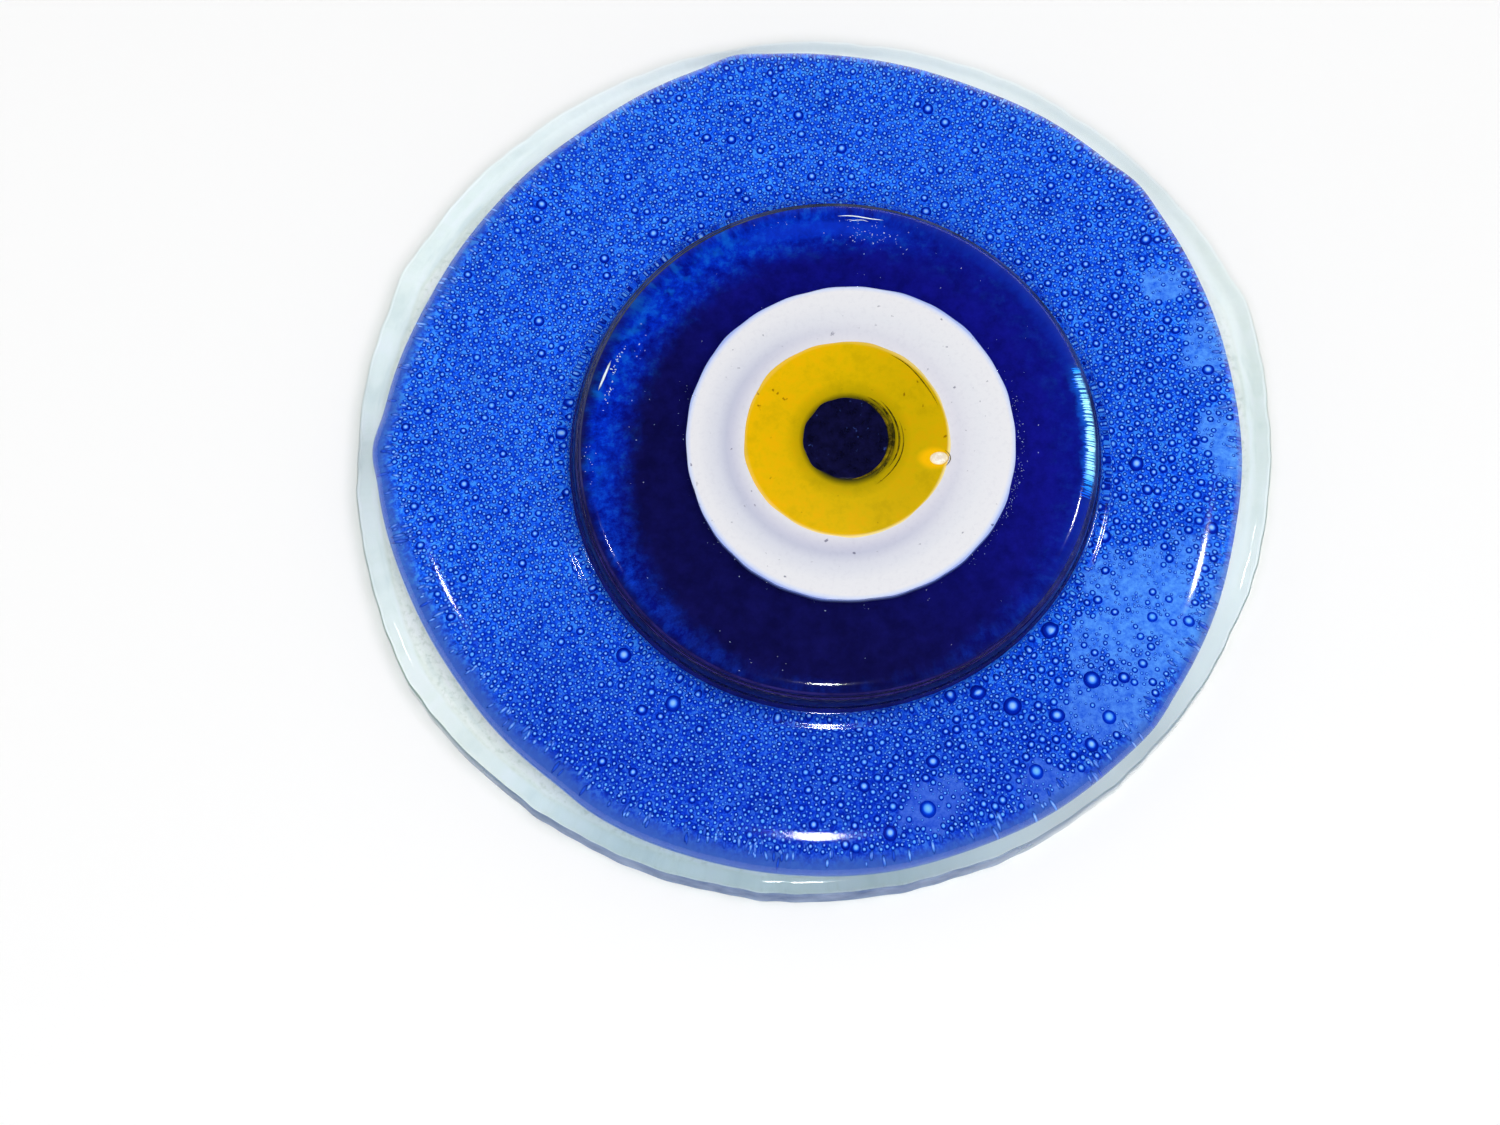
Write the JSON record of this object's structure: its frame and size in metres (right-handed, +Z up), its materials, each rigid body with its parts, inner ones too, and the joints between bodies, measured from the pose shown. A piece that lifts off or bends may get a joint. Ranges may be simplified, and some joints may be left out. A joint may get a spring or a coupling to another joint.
{
  "type": "evil eye ornament",
  "caption": "Round fused-glass evil eye ornament: clear base disc, blue bubble-filled disc, cobalt bead with white, yellow and dark rings.",
  "frame": {"origin": "middle of the underside of the clear base disc, on the surface it lies on", "axes": "+Z up out of the eye's face, +X to the right along the disc's widest reach, +Y to the top of the eye as seen"},
  "size_m": [0.1, 0.098, 0.0132],
  "materials": {
    "clear_glass": "gloss",
    "blue_glass": "gloss",
    "cobalt_glass": "gloss",
    "white_glass": "gloss",
    "yellow_glass": "gloss",
    "pupil_glass": "gloss"
  },
  "bodies": {
    "root": {"clear_base_disc": "clear_glass", "blue_bubble_disc": "blue_glass", "cobalt_bead": "cobalt_glass", "white_disc": "white_glass", "yellow_iris": "yellow_glass", "pupil": "pupil_glass"}
  },
  "joints": []
}
